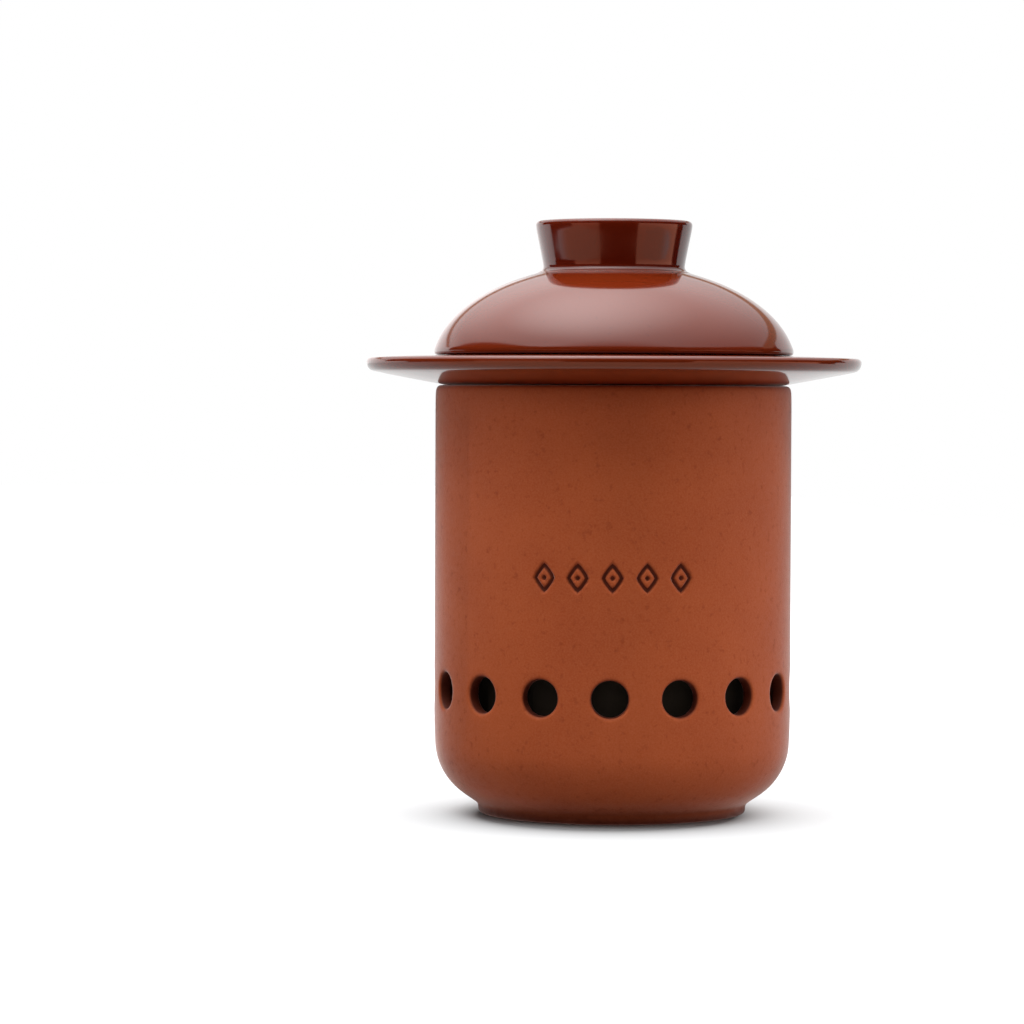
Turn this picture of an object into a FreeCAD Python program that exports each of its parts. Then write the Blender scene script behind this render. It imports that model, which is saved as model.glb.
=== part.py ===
import FreeCAD, Part

import os
from math import acos, asin, cos, hypot, pi, radians, sin, sqrt, tan

# Garlic keeper: an unglazed terracotta jar with a row of vents, closed by a
# glazed plate that rests on its rim, under a glazed domed lid with a hollow
# knob. Millimetres, +Z up, origin on the pot's axis at the underside of its foot.

# ---------------------------------------------------------------- driving dimensions

# Jar
JAR_RADIUS = 50.0
JAR_HEIGHT = 120.0
JAR_WALL = 4.0
JAR_FLOOR = 4.5            # clay between the foot recess and the inside
JAR_CORNER_RADIUS = 18.0   # round turn from the side wall to the sloping base
BASE_SLOPE_DEG = 32.0      # the base rises at this angle outside the foot
RIM_OUTER_ROUNDING = 1.8
RIM_INNER_ROUNDING = 1.0

# Foot ring turned into the jar's base
FOOT_INSET = 12.4          # from the jar's outer wall in to the foot's outer face
FOOT_HEIGHT = 2.7
FOOT_RING_WIDTH = 5.0
FOOT_RECESS_DEPTH = 2.2
FOOT_EDGE_ROUNDING = 0.6
FOOT_ROOT_ROUNDING = 1.0   # hollow turn where the foot meets the base
FLOOR_TURN = 6.0           # hollow turn round the edge of the jar's floor, inside

# Vents, one row round the lower wall
VENT_COUNT = 16
VENT_RADIUS = 5.0
VENT_HEIGHT = 35.3         # centres above the surface the jar stands on
VENT_TURN_DEG = -90.7      # bearing of the first vent, a little off the front
VENT_EDGE_ROUNDING = 0.6   # softened outer edge

# Stamped band on the front: a short row of lozenge outlines, each with a dot
STAMP_COUNT = 5
STAMP_HEIGHT = 9.4
STAMP_WIDTH = 7.0
STAMP_PITCH = 9.5
STAMP_LINE = 1.1           # width of the stamped line
STAMP_DOT_RADIUS = 0.8
STAMP_DEPTH = 0.5
STAMP_CENTRE_HEIGHT = 68.0

# Plate
PLATE_RADIUS = 69.5
PLATE_SEAT_THICKNESS = 8.0    # over the jar's rim
PLATE_RIM_THICKNESS = 3.4
PLATE_RIM_ROUNDING = 1.55
PLATE_TOP_FALL = 0.7          # the brim's top drops this much towards its rim
PLATE_FLOOR = 4.0             # in the well
PLATE_WELL_ROUNDING = 3.0
PLATE_SEAT_INSET = 1.6        # the flat seat ends this far inside the jar's outer wall
PLATE_SEAT_STEP = 0.7         # the seat stands this far below the brim's underside
PLATE_STEP_ROUNDING = 0.4

# Rings luted on to the plate
JAR_RING_WIDTH = 4.0
JAR_RING_DEPTH = 4.5
JAR_RING_CLEARANCE = 1.0      # to the jar's mouth, all round
LID_RING_WIDTH = 3.5
LID_RING_HEIGHT = 2.0
LID_RING_CLEARANCE = 1.2      # to the dome's mouth, all round
RING_ROUNDING = 0.8
WELL_STEP = 1.7               # the well starts this far inside the upper ring

# Domed lid: an ellipse of revolution, cut level below its widest part
DOME_HALF_WIDTH = 51.05
DOME_RISE = 29.35             # from the ellipse's centre to its crown
DOME_LIP_CUT = 3.35           # the lip is this far above the ellipse's centre
DOME_WALL = 4.2
DOME_LIP_ROUNDING = 1.2
DOME_LEDGE = 1.5              # level part of the plate's top outside the lip

# Knob: a flared hollow ring on a low landing at the dome's crown
KNOB_BASE_RADIUS = 20.0
KNOB_TOP_RADIUS = 22.1
KNOB_HEIGHT = 12.0
KNOB_WALL = 4.0
KNOB_EDGE_ROUNDING = 1.0
LANDING_RISE = 2.0            # landing above the ellipse, at the knob's radius
LANDING_ROUNDING = 1.8        # hollow turn between landing and dome

# The pieces rest on each other with this much air, as hand-made rims do
SEAT_GAP = 0.2

# Edges are picked by their place, to this tolerance
NEAR = 1e-4

# ---------------------------------------------------------------- worked-out places

JAR_BORE_RADIUS = JAR_RADIUS - JAR_WALL
FOOT_RADIUS = JAR_RADIUS - FOOT_INSET
FLOOR_HEIGHT = FOOT_RECESS_DEPTH + JAR_FLOOR
PLATE_SEAT = JAR_HEIGHT + SEAT_GAP
PLATE_TOP = PLATE_SEAT + PLATE_SEAT_THICKNESS
PLATE_RIM_TOP = PLATE_TOP - PLATE_TOP_FALL
DOME_LIP = PLATE_TOP + SEAT_GAP
DOME_CENTRE = DOME_LIP - DOME_LIP_CUT


def ellipse_radius(half_width, rise, height):
    """Radius of an upright ellipse of revolution at a height above its centre."""
    return half_width * sqrt(1 - (height / rise) ** 2)


def ellipse_height(half_width, rise, radius):
    """Height above its centre of an upright ellipse of revolution at a radius."""
    return rise * sqrt(1 - (radius / half_width) ** 2)


DOME_LIP_RADIUS = ellipse_radius(DOME_HALF_WIDTH, DOME_RISE, DOME_LIP_CUT)
DOME_BORE_RADIUS = ellipse_radius(DOME_HALF_WIDTH - DOME_WALL, DOME_RISE - DOME_WALL, DOME_LIP_CUT)
LANDING_TOP = (
    DOME_CENTRE
    + ellipse_height(DOME_HALF_WIDTH, DOME_RISE, KNOB_BASE_RADIUS)
    + LANDING_RISE
)
LID_RING_OUTER = DOME_BORE_RADIUS - LID_RING_CLEARANCE
LID_RING_INNER = LID_RING_OUTER - LID_RING_WIDTH


# ---------------------------------------------------------------- drawing tools


def rounded_outline(corners):
    """Edges of a closed outline in the XZ plane.

    Each corner is (radius from the axis, height, rounding). A rounding above
    zero replaces the corner by an arc that is tangent to both of its sides.
    """
    points = [FreeCAD.Vector(r, 0, z) for r, z, _ in corners]
    starts = []
    ends = []
    arcs = []
    for i, (_, _, rounding) in enumerate(corners):
        here = points[i]
        back = (points[i - 1] - here).normalize()
        ahead = (points[(i + 1) % len(points)] - here).normalize()
        if rounding == 0:
            starts.append(here)
            ends.append(here)
            arcs.append(None)
            continue
        half_angle = acos(back.dot(ahead)) / 2
        setback = rounding / tan(half_angle)
        bisector = (back + ahead).normalize()
        centre = here + bisector * (rounding / sin(half_angle))
        start = here + back * setback
        end = here + ahead * setback
        starts.append(start)
        ends.append(end)
        arcs.append(Part.Arc(start, centre - bisector * rounding, end).toShape())
    edges = []
    for i, arc in enumerate(arcs):
        if arc:
            edges.append(arc)
        following = starts[(i + 1) % len(starts)]
        edges.append(Part.LineSegment(ends[i], following).toShape())
    return edges


def revolved(edges):
    """Solid made by turning a closed outline round the pot's axis."""
    face = Part.Face(Part.Wire(edges))
    return face.revolve(FreeCAD.Vector(0, 0, 0), FreeCAD.Vector(0, 0, 1), 360)


def turned(corners):
    """Solid of revolution with a rounded outline."""
    return revolved(rounded_outline(corners))


def ellipse_arc(half_width, rise, centre_height, outer_radius, inner_radius):
    """Edge along an upright ellipse in the XZ plane, between two radii."""
    crown = FreeCAD.Vector(0, 0, centre_height + rise)
    side = FreeCAD.Vector(half_width, 0, centre_height)
    middle = FreeCAD.Vector(0, 0, centre_height)
    if half_width > rise:
        ends = acos(outer_radius / half_width), acos(inner_radius / half_width)
        return Part.Ellipse(side, crown, middle).toShape(*ends)
    ends = asin(inner_radius / half_width), asin(outer_radius / half_width)
    return Part.Ellipse(crown, side, middle).toShape(*ends)


def ring_edges(solid, radius, height):
    """Circular edges of a solid of revolution at one radius and height."""
    return [
        edge
        for edge in solid.Edges
        if not edge.Degenerated
        and isinstance(edge.Curve, Part.Circle)
        and abs(edge.Curve.Radius - radius) < NEAR
        and abs(edge.Curve.Center.z - height) < NEAR
    ]


# ---------------------------------------------------------------- jar


def jar_shell():
    """The thrown pot: foot ring, sloping base, round corner, straight wall.

    Inside, the floor turns up into a slope that lies one wall's thickness
    above the sloping base, so the clay is no thinner there than in the wall.
    """
    slope = tan(radians(BASE_SLOPE_DEG))
    corner_height = FOOT_HEIGHT + (JAR_RADIUS - FOOT_RADIUS) * slope
    clay_above_slope = JAR_WALL / cos(radians(BASE_SLOPE_DEG))
    inner_corner_height = corner_height - JAR_WALL * slope + clay_above_slope
    floor_edge = JAR_BORE_RADIUS - (inner_corner_height - FLOOR_HEIGHT) / slope
    return turned(
        [
            (0, FOOT_RECESS_DEPTH, 0),
            (FOOT_RADIUS - FOOT_RING_WIDTH, FOOT_RECESS_DEPTH, FOOT_EDGE_ROUNDING),
            (FOOT_RADIUS - FOOT_RING_WIDTH, 0, FOOT_EDGE_ROUNDING),
            (FOOT_RADIUS, 0, FOOT_EDGE_ROUNDING),
            (FOOT_RADIUS, FOOT_HEIGHT, FOOT_ROOT_ROUNDING),
            (JAR_RADIUS, corner_height, JAR_CORNER_RADIUS),
            (JAR_RADIUS, JAR_HEIGHT, RIM_OUTER_ROUNDING),
            (JAR_BORE_RADIUS, JAR_HEIGHT, RIM_INNER_ROUNDING),
            (JAR_BORE_RADIUS, inner_corner_height, JAR_CORNER_RADIUS - JAR_WALL),
            (floor_edge, FLOOR_HEIGHT, FLOOR_TURN),
            (0, FLOOR_HEIGHT, 0),
        ]
    )


def vent_bearings():
    """Bearing of each vent round the axis, in degrees from +X."""
    return [VENT_TURN_DEG + i * 360 / VENT_COUNT for i in range(VENT_COUNT)]


def vent_drill(bearing_deg):
    """Round bar that leaves one vent when it is cut from the jar's wall."""
    outward = FreeCAD.Vector(cos(radians(bearing_deg)), sin(radians(bearing_deg)), 0)
    inner_end = outward * (JAR_BORE_RADIUS - JAR_WALL) + FreeCAD.Vector(0, 0, VENT_HEIGHT)
    bar_length = 3 * JAR_WALL
    return Part.makeCylinder(VENT_RADIUS, bar_length, inner_end, outward)


def vent_mouths(solid):
    """Edges where the vents break the jar's outer wall."""
    outer_skin = JAR_RADIUS - JAR_WALL / 4
    return [
        edge
        for edge in solid.Edges
        if abs(edge.CenterOfMass.z - VENT_HEIGHT) < NEAR
        and hypot(edge.CenterOfMass.x, edge.CenterOfMass.y) > outer_skin
    ]


def lozenge(half_width, half_height):
    """Corners of an upright lozenge in the front plane, centred on the origin."""
    return [
        FreeCAD.Vector(half_width, 0, 0),
        FreeCAD.Vector(0, 0, half_height),
        FreeCAD.Vector(-half_width, 0, 0),
        FreeCAD.Vector(0, 0, -half_height),
    ]


def stamp_tool(bearing_deg):
    """One stamp, pressed inwards at a bearing: a lozenge outline and a dot."""
    inwards = FreeCAD.Vector(0, JAR_WALL, 0)
    outer = lozenge(STAMP_WIDTH / 2, STAMP_HEIGHT / 2)
    # The line keeps its width measured square to the lozenge's sides.
    side = sqrt(STAMP_WIDTH**2 + STAMP_HEIGHT**2)
    inner = lozenge(
        STAMP_WIDTH / 2 - STAMP_LINE * side / STAMP_HEIGHT,
        STAMP_HEIGHT / 2 - STAMP_LINE * side / STAMP_WIDTH,
    )
    frame = Part.Face(Part.makePolygon(outer + [outer[0]])).extrude(inwards)
    frame = frame.cut(Part.Face(Part.makePolygon(inner + [inner[0]])).extrude(inwards))
    dot = Part.makeCylinder(STAMP_DOT_RADIUS, JAR_WALL, FreeCAD.Vector(0, 0, 0), FreeCAD.Vector(0, 1, 0))
    tool = frame.fuse(dot)
    tool.translate(FreeCAD.Vector(0, -JAR_RADIUS - JAR_WALL / 2, STAMP_CENTRE_HEIGHT))
    tool.rotate(FreeCAD.Vector(0, 0, 0), FreeCAD.Vector(0, 0, 1), bearing_deg)
    return tool


def stamped_band():
    """The clay that the row of stamps pushes in, an even depth below the wall."""
    low = FreeCAD.Vector(0, 0, STAMP_CENTRE_HEIGHT - STAMP_HEIGHT)
    skin = Part.makeCylinder(JAR_RADIUS + JAR_WALL, 2 * STAMP_HEIGHT, low)
    skin = skin.cut(Part.makeCylinder(JAR_RADIUS - STAMP_DEPTH, 2 * STAMP_HEIGHT, low))
    pitch_deg = 180 / pi * STAMP_PITCH / JAR_RADIUS
    middle = (STAMP_COUNT - 1) / 2
    tools = [stamp_tool((i - middle) * pitch_deg) for i in range(STAMP_COUNT)]
    return [tool.common(skin) for tool in tools]


def jar_body():
    """Jar with its vents, their softened mouths and the stamped band."""
    body = jar_shell().cut([vent_drill(bearing) for bearing in vent_bearings()])
    body = body.makeFillet(VENT_EDGE_ROUNDING, vent_mouths(body))
    return body.cut(stamped_band())


# ---------------------------------------------------------------- plate


def plate():
    """Plate with a level ledge for the dome, a thin brim and a sunk well."""
    ledge = DOME_LIP_RADIUS + DOME_LEDGE
    seat_edge = JAR_RADIUS - PLATE_SEAT_INSET
    rim_underside = PLATE_RIM_TOP - PLATE_RIM_THICKNESS
    well = LID_RING_INNER - WELL_STEP
    well_floor = PLATE_SEAT + PLATE_FLOOR
    return turned(
        [
            (0, PLATE_SEAT, 0),
            (seat_edge, PLATE_SEAT, PLATE_STEP_ROUNDING),
            (seat_edge + PLATE_SEAT_STEP, PLATE_SEAT + PLATE_SEAT_STEP, PLATE_STEP_ROUNDING),
            (PLATE_RADIUS, rim_underside, PLATE_RIM_ROUNDING),
            (PLATE_RADIUS, PLATE_RIM_TOP, PLATE_RIM_ROUNDING),
            (ledge, PLATE_TOP, 0),
            (well, PLATE_TOP, RING_ROUNDING),
            (well, well_floor, PLATE_WELL_ROUNDING),
            (0, well_floor, 0),
        ]
    )


def plate_locating_ring():
    """Ring under the plate that keeps it centred in the jar's mouth."""
    outer = JAR_BORE_RADIUS - JAR_RING_CLEARANCE
    inner = outer - JAR_RING_WIDTH
    bottom = PLATE_SEAT - JAR_RING_DEPTH
    return turned(
        [
            (inner, bottom, RING_ROUNDING),
            (outer, bottom, RING_ROUNDING),
            (outer, PLATE_SEAT, 0),
            (inner, PLATE_SEAT, 0),
        ]
    )


def dome_locating_ring():
    """Low ring on the plate that the dome's mouth drops over."""
    top = PLATE_TOP + LID_RING_HEIGHT
    return turned(
        [
            (LID_RING_INNER, PLATE_TOP, 0),
            (LID_RING_OUTER, PLATE_TOP, 0),
            (LID_RING_OUTER, top, RING_ROUNDING),
            (LID_RING_INNER, top, RING_ROUNDING),
        ]
    )


# ---------------------------------------------------------------- lid


def dome_lid():
    """Dome of even wall with a rounded lip and a landing for the knob."""
    landing_root = DOME_CENTRE + ellipse_height(DOME_HALF_WIDTH, DOME_RISE, KNOB_BASE_RADIUS)
    inner_half_width = DOME_HALF_WIDTH - DOME_WALL
    inner_rise = DOME_RISE - DOME_WALL
    corners = [
        FreeCAD.Vector(KNOB_BASE_RADIUS, 0, landing_root),
        FreeCAD.Vector(KNOB_BASE_RADIUS, 0, LANDING_TOP),
        FreeCAD.Vector(0, 0, LANDING_TOP),
        FreeCAD.Vector(0, 0, DOME_CENTRE + inner_rise),
    ]
    outside = ellipse_arc(DOME_HALF_WIDTH, DOME_RISE, DOME_CENTRE, DOME_LIP_RADIUS, KNOB_BASE_RADIUS)
    inside = ellipse_arc(inner_half_width, inner_rise, DOME_CENTRE, DOME_BORE_RADIUS, 0)
    lip_inner = FreeCAD.Vector(DOME_BORE_RADIUS, 0, DOME_LIP)
    lip_outer = FreeCAD.Vector(DOME_LIP_RADIUS, 0, DOME_LIP)
    lines = [Part.LineSegment(*pair).toShape() for pair in zip(corners, corners[1:])]
    lip = Part.LineSegment(lip_inner, lip_outer).toShape()
    dome = revolved([outside] + lines + [inside, lip])
    dome = dome.makeFillet(LANDING_ROUNDING, ring_edges(dome, KNOB_BASE_RADIUS, landing_root))
    lip_edges = ring_edges(dome, DOME_LIP_RADIUS, DOME_LIP) + ring_edges(dome, DOME_BORE_RADIUS, DOME_LIP)
    return dome.makeFillet(DOME_LIP_ROUNDING, lip_edges)


def lid_knob():
    """Flared hollow ring that stands on the dome's landing."""
    top = LANDING_TOP + KNOB_HEIGHT
    return turned(
        [
            (KNOB_BASE_RADIUS - KNOB_WALL, LANDING_TOP, 0),
            (KNOB_BASE_RADIUS, LANDING_TOP, 0),
            (KNOB_TOP_RADIUS, top, KNOB_EDGE_ROUNDING),
            (KNOB_TOP_RADIUS - KNOB_WALL, top, KNOB_EDGE_ROUNDING),
        ]
    )


# ---------------------------------------------------------------- files

PIECES = {
    "jar_body": jar_body,
    "plate": plate,
    "plate_locating_ring": plate_locating_ring,
    "dome_locating_ring": dome_locating_ring,
    "dome_lid": dome_lid,
    "lid_knob": lid_knob,
}

os.makedirs("parts", exist_ok=True)
for name, make in PIECES.items():
    shape = make()
    shape.exportStep(f"parts/{name}.step")
    box = shape.optimalBoundingBox(True, False)
    print(
        f"{name}: {len(shape.Solids)} solid, valid {shape.isValid()}, {shape.Volume / 1000:.1f} cm3,"
        f" radius {box.XMax:.2f}, z {box.ZMin:.2f} to {box.ZMax:.2f}"
    )
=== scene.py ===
# %% [markdown]
# # A terracotta garlic keeper under a glazed lid
#
# The pot has three fired pieces: a jar of bare red clay with a row of round
# vents, a wide glazed plate that closes it, and a glazed dome with a hollow
# knob. Each one already exists as plain CAD solids. They tell us where every
# piece sits and how large it is, and this script gives the pieces their
# finished shape, their clay and their glaze.

# %% load the frame
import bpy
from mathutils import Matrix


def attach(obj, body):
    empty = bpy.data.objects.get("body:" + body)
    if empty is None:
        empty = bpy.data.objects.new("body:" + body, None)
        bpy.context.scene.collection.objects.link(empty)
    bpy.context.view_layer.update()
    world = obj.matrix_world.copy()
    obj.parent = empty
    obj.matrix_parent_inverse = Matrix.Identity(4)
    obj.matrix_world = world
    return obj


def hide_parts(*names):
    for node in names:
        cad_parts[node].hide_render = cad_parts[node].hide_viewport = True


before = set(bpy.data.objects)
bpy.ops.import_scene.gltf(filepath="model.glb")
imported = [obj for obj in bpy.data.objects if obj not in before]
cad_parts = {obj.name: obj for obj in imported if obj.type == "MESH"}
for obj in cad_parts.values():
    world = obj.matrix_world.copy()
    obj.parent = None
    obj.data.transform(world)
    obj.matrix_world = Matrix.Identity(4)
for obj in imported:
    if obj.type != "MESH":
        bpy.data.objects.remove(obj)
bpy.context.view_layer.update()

# %% tools
from math import acos, asin, atan2, cos, degrees, hypot, radians, sin, sqrt, tan, tau

import bmesh
import bpy
from mathutils import Matrix, Vector

MM = 0.001
scene = bpy.context.scene
scene.view_settings.view_transform = "Standard"

# %% [markdown]
# ## The camera
#
# A product shot of a pot is taken from far off with a long lens, so that its
# sides stay upright and its ellipses stay thin. We stand 1.1 m away, a little
# higher than the vents and lower than the knob, and aim beside the pot, which
# leaves room on the left of the picture. Turning the camera is enough for
# that: its lens keeps no shift, so every other view is framed as usual.

# %% camera
PICTURE_SIDE = 1024          # pixels
AXIS_COLUMN = 612.9          # pixel column that the pot's axis falls on
AIM_HEIGHT = 84.3 * MM       # height on the axis that the picture's middle row shows
EYE_DISTANCE = 1.12
EYE_HEIGHT = 0.117
LENS_MM = 140.0
SENSOR_MM = 36.0
CAMERA_ROLL_DEG = 0.22

pixels_per_metre = LENS_MM / SENSOR_MM * PICTURE_SIDE / EYE_DISTANCE
aim = Vector(((PICTURE_SIDE / 2 - AXIS_COLUMN) / pixels_per_metre, 0, AIM_HEIGHT))
eye = Vector((0, -EYE_DISTANCE, EYE_HEIGHT))
lens = bpy.data.cameras.new("camera")
lens.lens = LENS_MM
lens.sensor_width = SENSOR_MM
camera = bpy.data.objects.new("camera", lens)
scene.collection.objects.link(camera)
look = (aim - eye).to_track_quat("-Z", "Y").to_matrix().to_4x4()
roll = Matrix.Rotation(radians(CAMERA_ROLL_DEG), 4, "Z")
camera.matrix_world = Matrix.Translation(eye) @ look @ roll
scene.camera = camera
print(f"camera: {pixels_per_metre / 1000:.3f} pixels to a millimetre at the pot's axis")

# %% [markdown]
# ## Nodes in one line
#
# Every material below is a small graph of nodes. Blender makes them one at a
# time, which is long to read, so a helper makes a node, fills its sockets and
# links what is already a socket. A link and a plain number are then written in
# the same way. A few more helpers on top of it do what the materials need most
# often: reckon with two values, stretch a value, and mix two colours.

# %% node helpers
def add_node(tree, kind, settings=None, **inputs):
    """Adds a node, sets its properties, and fills each socket with a value or a link."""
    node = tree.nodes.new("ShaderNode" + kind)
    for name, value in (settings or {}).items():
        setattr(node, name, value)
    for name, value in inputs.items():
        key = int(name[1:]) if name[1:].isdigit() else name.replace("_", " ")
        if isinstance(value, bpy.types.NodeSocket):
            tree.links.new(value, node.inputs[key])
        else:
            node.inputs[key].default_value = value
    return node


def calc(tree, operation, first, second):
    """One sum, product or the like of two values."""
    return add_node(tree, "Math", {"operation": operation}, _0=first, _1=second).outputs[0]


def spread(tree, value, low, high, to_low=0.0, to_high=1.0, curve="LINEAR"):
    """Stretches the part of a value between low and high over a new range."""
    return add_node(
        tree, "MapRange", {"interpolation_type": curve}, Value=value,
        From_Min=low, From_Max=high, To_Min=to_low, To_Max=to_high,
    ).outputs[0]


def soft_step(tree, value, low, high, to_low, to_high):
    """Moves smoothly from one number to another while a value goes from low to high."""
    return spread(tree, value, low, high, to_low, to_high, curve="SMOOTHSTEP")


def blend(tree, amount, first, second):
    """Colour between two colours."""
    return add_node(tree, "Mix", {"data_type": "RGBA"}, _0=amount, _6=first, _7=second).outputs[2]


def object_place(tree):
    """Place of the shaded point in the object's own metres."""
    return add_node(tree, "TexCoord").outputs["Object"]


def empty_tree(owner):
    """Node tree of a material or world, with nothing in it but its output."""
    owner.use_nodes = True
    tree = owner.node_tree
    tree.nodes.clear()
    kind = "OutputWorld" if isinstance(owner, bpy.types.World) else "OutputMaterial"
    return tree, tree.nodes.new("ShaderNode" + kind).inputs["Surface"]


# %% [markdown]
# ## The white room
#
# The pot stands on a white table in front of a white backdrop. Glaze is a dark
# mirror, so most of what we see on the lid is this room, and it has to be
# there for the glaze to look wet. The world is the backdrop: whatever looks at
# it directly or in a reflection finds plain white, while as a light it is
# weaker, which keeps the clay's own colour.

# %% backdrop
BACKDROP_AS_LIGHT = 0.45


def seen_directly(tree):
    """1 for rays from the camera, from a mirror or through glass, 0 for scattered light."""
    ray = add_node(tree, "LightPath").outputs
    mirror = calc(tree, "MAXIMUM", ray["Is Camera Ray"], ray["Is Glossy Ray"])
    return calc(tree, "MAXIMUM", mirror, ray["Is Transmission Ray"])


backdrop = bpy.data.worlds.new("white backdrop")
scene.world = backdrop
tree, surface = empty_tree(backdrop)
strength = spread(tree, seen_directly(tree), 0.0, 1.0, BACKDROP_AS_LIGHT, 1.0)
white = add_node(tree, "Background", Color=(1, 1, 1, 1), Strength=strength)
tree.links.new(white.outputs[0], surface)
print("backdrop: 1 where it is seen,", BACKDROP_AS_LIGHT, "as a light")


# %% [markdown]
# ## The table
#
# The table is a matt white sheet that takes the pot's shadow. It is short in
# front, 40 cm, and 70 cm wide to each side. For the camera it also glows, and
# its glow is a painted shadow. It is bright, so that a few centimetres away the
# sheet is the same plain white as the backdrop and no horizon shows. It fades
# towards the foot, so that the shadow stays close to it. In the glaze its
# front part is a painted reflection, a warm glow that only mirrors see. Close
# to the foot the paper is painted dark for scattered light. This painted shade
# keeps the turn above the foot dark.

# %% table paper
PAPER = (0.29, 0.30, 0.31, 1)
# painted shade: for scattered light the paper is dark near the foot
THROWN_BACK = (0.04, 0.04, 0.04, 1), (0.40, 0.39, 0.38, 1)
THROWN_ROOM = 0.034, 0.047   # near the foot it is the first, from here on the second
# painted shadow: the camera's glow on the table fades round the foot in this shape
SHADOW_MIDDLE = (-0.0015, -0.009, 0.0)
SHADOW_STRETCH = (1 / 1.15, 1, 1)
SHADOW_RADIUS = 0.041        # the shadow is full up to here, and thins out beyond
SHADOW_FALL = 3.0            # power of distance at which it does
SHADOW_ROOM = 0.10, 0.40     # the last of it goes between these distances
SHADOW_REST = 0.85           # share of the paper's light at the nearer of the two
# painted reflection: mirrors see the table's front glow warm
MIRRORED_FRONT = (1.2, 0.62, 0.42, 1)
MIRRORED_EDGE = -0.16, 0.06  # from front to back, the mirrored table turns white between these

paper = bpy.data.materials.new("table white")
tree, surface = empty_tree(paper)
place = object_place(tree)
ray = add_node(tree, "LightPath").outputs
from_middle = add_node(
    tree, "Mapping", {"vector_type": "TEXTURE"}, Vector=place, Location=SHADOW_MIDDLE,
    Scale=SHADOW_STRETCH,
).outputs[0]
distance = add_node(tree, "VectorMath", {"operation": "LENGTH"}, _0=from_middle).outputs["Value"]
# painted shadow: the glow that the camera sees, weaker near the foot
shadow = calc(tree, "POWER", calc(tree, "DIVIDE", SHADOW_RADIUS, distance), SHADOW_FALL)
lit = calc(tree, "MAXIMUM", calc(tree, "SUBTRACT", 1.0, shadow), 0.0)
lit = calc(tree, "MULTIPLY", lit, soft_step(tree, distance, *SHADOW_ROOM, SHADOW_REST, 1.0))
lit = calc(tree, "MULTIPLY", lit, ray["Is Camera Ray"])
# painted shade: dark paper near the foot for scattered light
thrown_back = blend(tree, soft_step(tree, distance, *THROWN_ROOM, 0.0, 1.0), *THROWN_BACK)
sheet = add_node(tree, "BsdfDiffuse", Color=blend(tree, ray["Is Camera Ray"], thrown_back, PAPER))
glow = add_node(tree, "Emission", Color=(1, 1, 1, 1), Strength=lit)
both = add_node(tree, "AddShader", _0=sheet.outputs[0], _1=glow.outputs[0])
depth = add_node(tree, "SeparateXYZ", _0=place).outputs["Y"]
tint = blend(tree, soft_step(tree, depth, *MIRRORED_EDGE, 0.0, 1.0), MIRRORED_FRONT, (1, 1, 1, 1))
mirrored = add_node(tree, "Emission", Color=tint, Strength=1.0)
seen = add_node(
    tree, "MixShader", _0=ray["Is Glossy Ray"], _1=both.outputs[0], _2=mirrored.outputs[0]
)
tree.links.new(seen.outputs[0], surface)
print("table paper:", len(tree.nodes), "nodes")

# %% table
TABLE_FRONT = 0.40
TABLE_SIDE = 0.70
TABLE_BACK = 4.0
TABLE_TURN_DEG = 8.0         # the table's front edge isn't quite square to the camera


def stage_sheet(name, bm, material):
    """A sheet of the studio that isn't part of the pot."""
    mesh = bpy.data.meshes.new(name)
    bm.to_mesh(mesh)
    bm.free()
    mesh.materials.append(material)
    sheet = bpy.data.objects.new(name, mesh)
    scene.collection.objects.link(sheet)
    return sheet


def flat_sheet(left, right, front, back, height):
    """A level rectangle, as a bmesh."""
    bm = bmesh.new()
    bmesh.ops.create_grid(bm, x_segments=1, y_segments=1, size=0.5)
    bmesh.ops.scale(bm, vec=(right - left, back - front, 1), verts=bm.verts)
    bmesh.ops.translate(bm, vec=((left + right) / 2, (front + back) / 2, height), verts=bm.verts)
    return bm


bm = flat_sheet(-TABLE_SIDE, TABLE_SIDE, -TABLE_FRONT, TABLE_BACK, 0)
turn = Matrix.Rotation(radians(TABLE_TURN_DEG), 4, "Z")
bmesh.ops.transform(bm, matrix=turn, verts=bm.verts)
table = stage_sheet("table", bm, paper)
print("table:", [round(v, 2) for v in table.dimensions])

# %% [markdown]
# ## The light
#
# One large soft box hangs over the pot and reaches far behind it. It is the
# broad pale glow on the dome and the bright line on every upper edge. Its lamp
# sits a little left of the pot's axis: the cloth is brightest there, fades
# gently outwards, and is weaker to the right and along its front hem. The box
# is narrower in front and its right back corner is cut off. A brown strip hangs
# from its back edge and from the cut, which is the fine line near the sides of
# the dome. The camera doesn't see the box.

# %% the soft box's cloth
BOX_FRONT = -0.90
BOX_HEIGHT = 0.80
LAMP_PLACE = (-0.12, -0.08, BOX_HEIGHT)
LAMP_GLOW = 2.9
LAMP_REACH = 0.62
CLOTH_GLOW = 2.9, 1.25       # at the lamp and far from it
CLOTH_REACH = 1.6
BOX_SIDES = -0.4, 1.1        # its light weakens from left to right between these
BOX_RIGHT_SHARE = 0.66       # down to this share
BOX_HEM = 0.30               # the front hem fades over this length
BOX_HEM_SHARE = 0.15         # down to this share
BOX_FRONT_PART = -0.1        # from here forwards, less of its light reaches matt surfaces
BOX_ON_MATT = 0.45           # down to this share

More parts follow.
